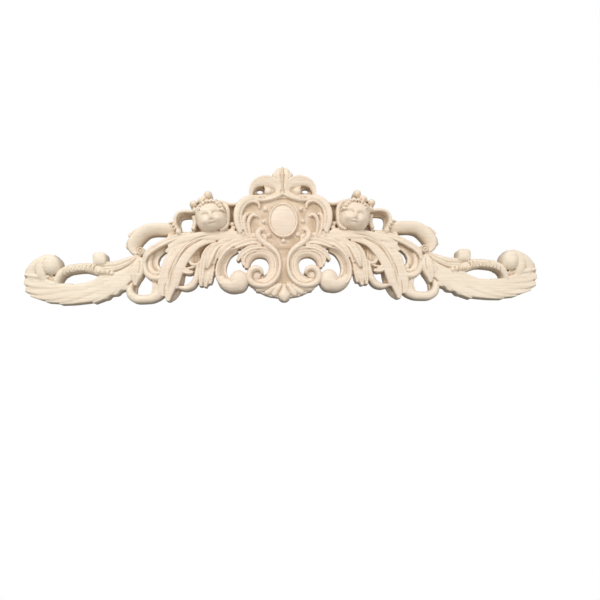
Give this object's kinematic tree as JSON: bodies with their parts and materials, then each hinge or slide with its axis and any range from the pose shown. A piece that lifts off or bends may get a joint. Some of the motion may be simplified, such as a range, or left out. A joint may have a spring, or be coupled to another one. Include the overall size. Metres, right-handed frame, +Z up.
{
  "type": "carved pediment applique",
  "caption": "Wide carved wood applique with a shield and crest in the middle, child heads, pierced scrolls and acanthus leaves, flat at the back.",
  "frame": {"origin": "on the flat back, behind the middle of the oval medallion", "axes": "+X along the width to the viewer's right, +Z up toward the crest, +Y out of the flat back toward the wall, so the carving faces -Y"},
  "size_m": [0.3, 0.0184, 0.08],
  "materials": {
    "carved_wood": "bare, sanded, unpainted"
  },
  "bodies": {
    "root": {"carved_ornament": "carved_wood"}
  },
  "joints": []
}
